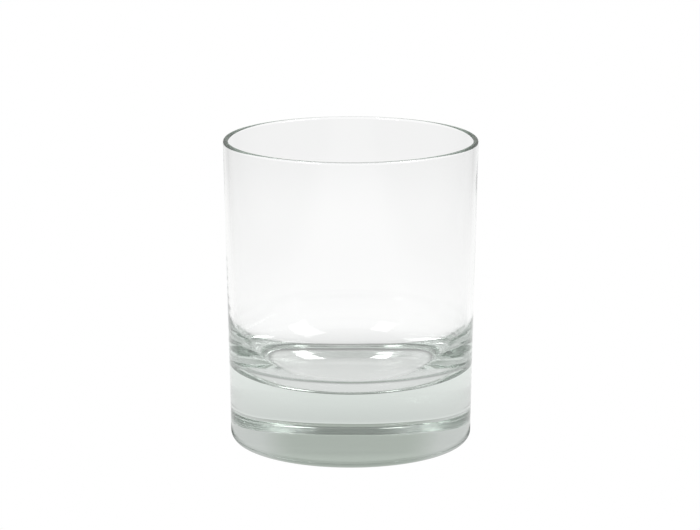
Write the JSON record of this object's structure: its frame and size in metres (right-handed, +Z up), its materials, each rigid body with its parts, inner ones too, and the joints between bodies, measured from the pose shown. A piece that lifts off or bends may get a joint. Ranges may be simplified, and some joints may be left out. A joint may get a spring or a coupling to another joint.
{
  "type": "whiskey tumbler",
  "caption": "Plain clear whiskey tumbler: thin round wall with a slight taper, rounded lip, wall that flares in to a curved inner corner, and a thick solid glass base.",
  "frame": {"origin": "centre of the foot, on the surface that the glass stands on", "axes": "+Z up along the glass's axis of revolution, through the middle of the mouth"},
  "size_m": [0.082, 0.082, 0.099],
  "materials": {
    "clear_glass": "clear fire-polished soda-lime glass with a faint grey-green tint where it is thick"
  },
  "bodies": {
    "root": {"tumbler": "clear_glass"}
  },
  "joints": []
}
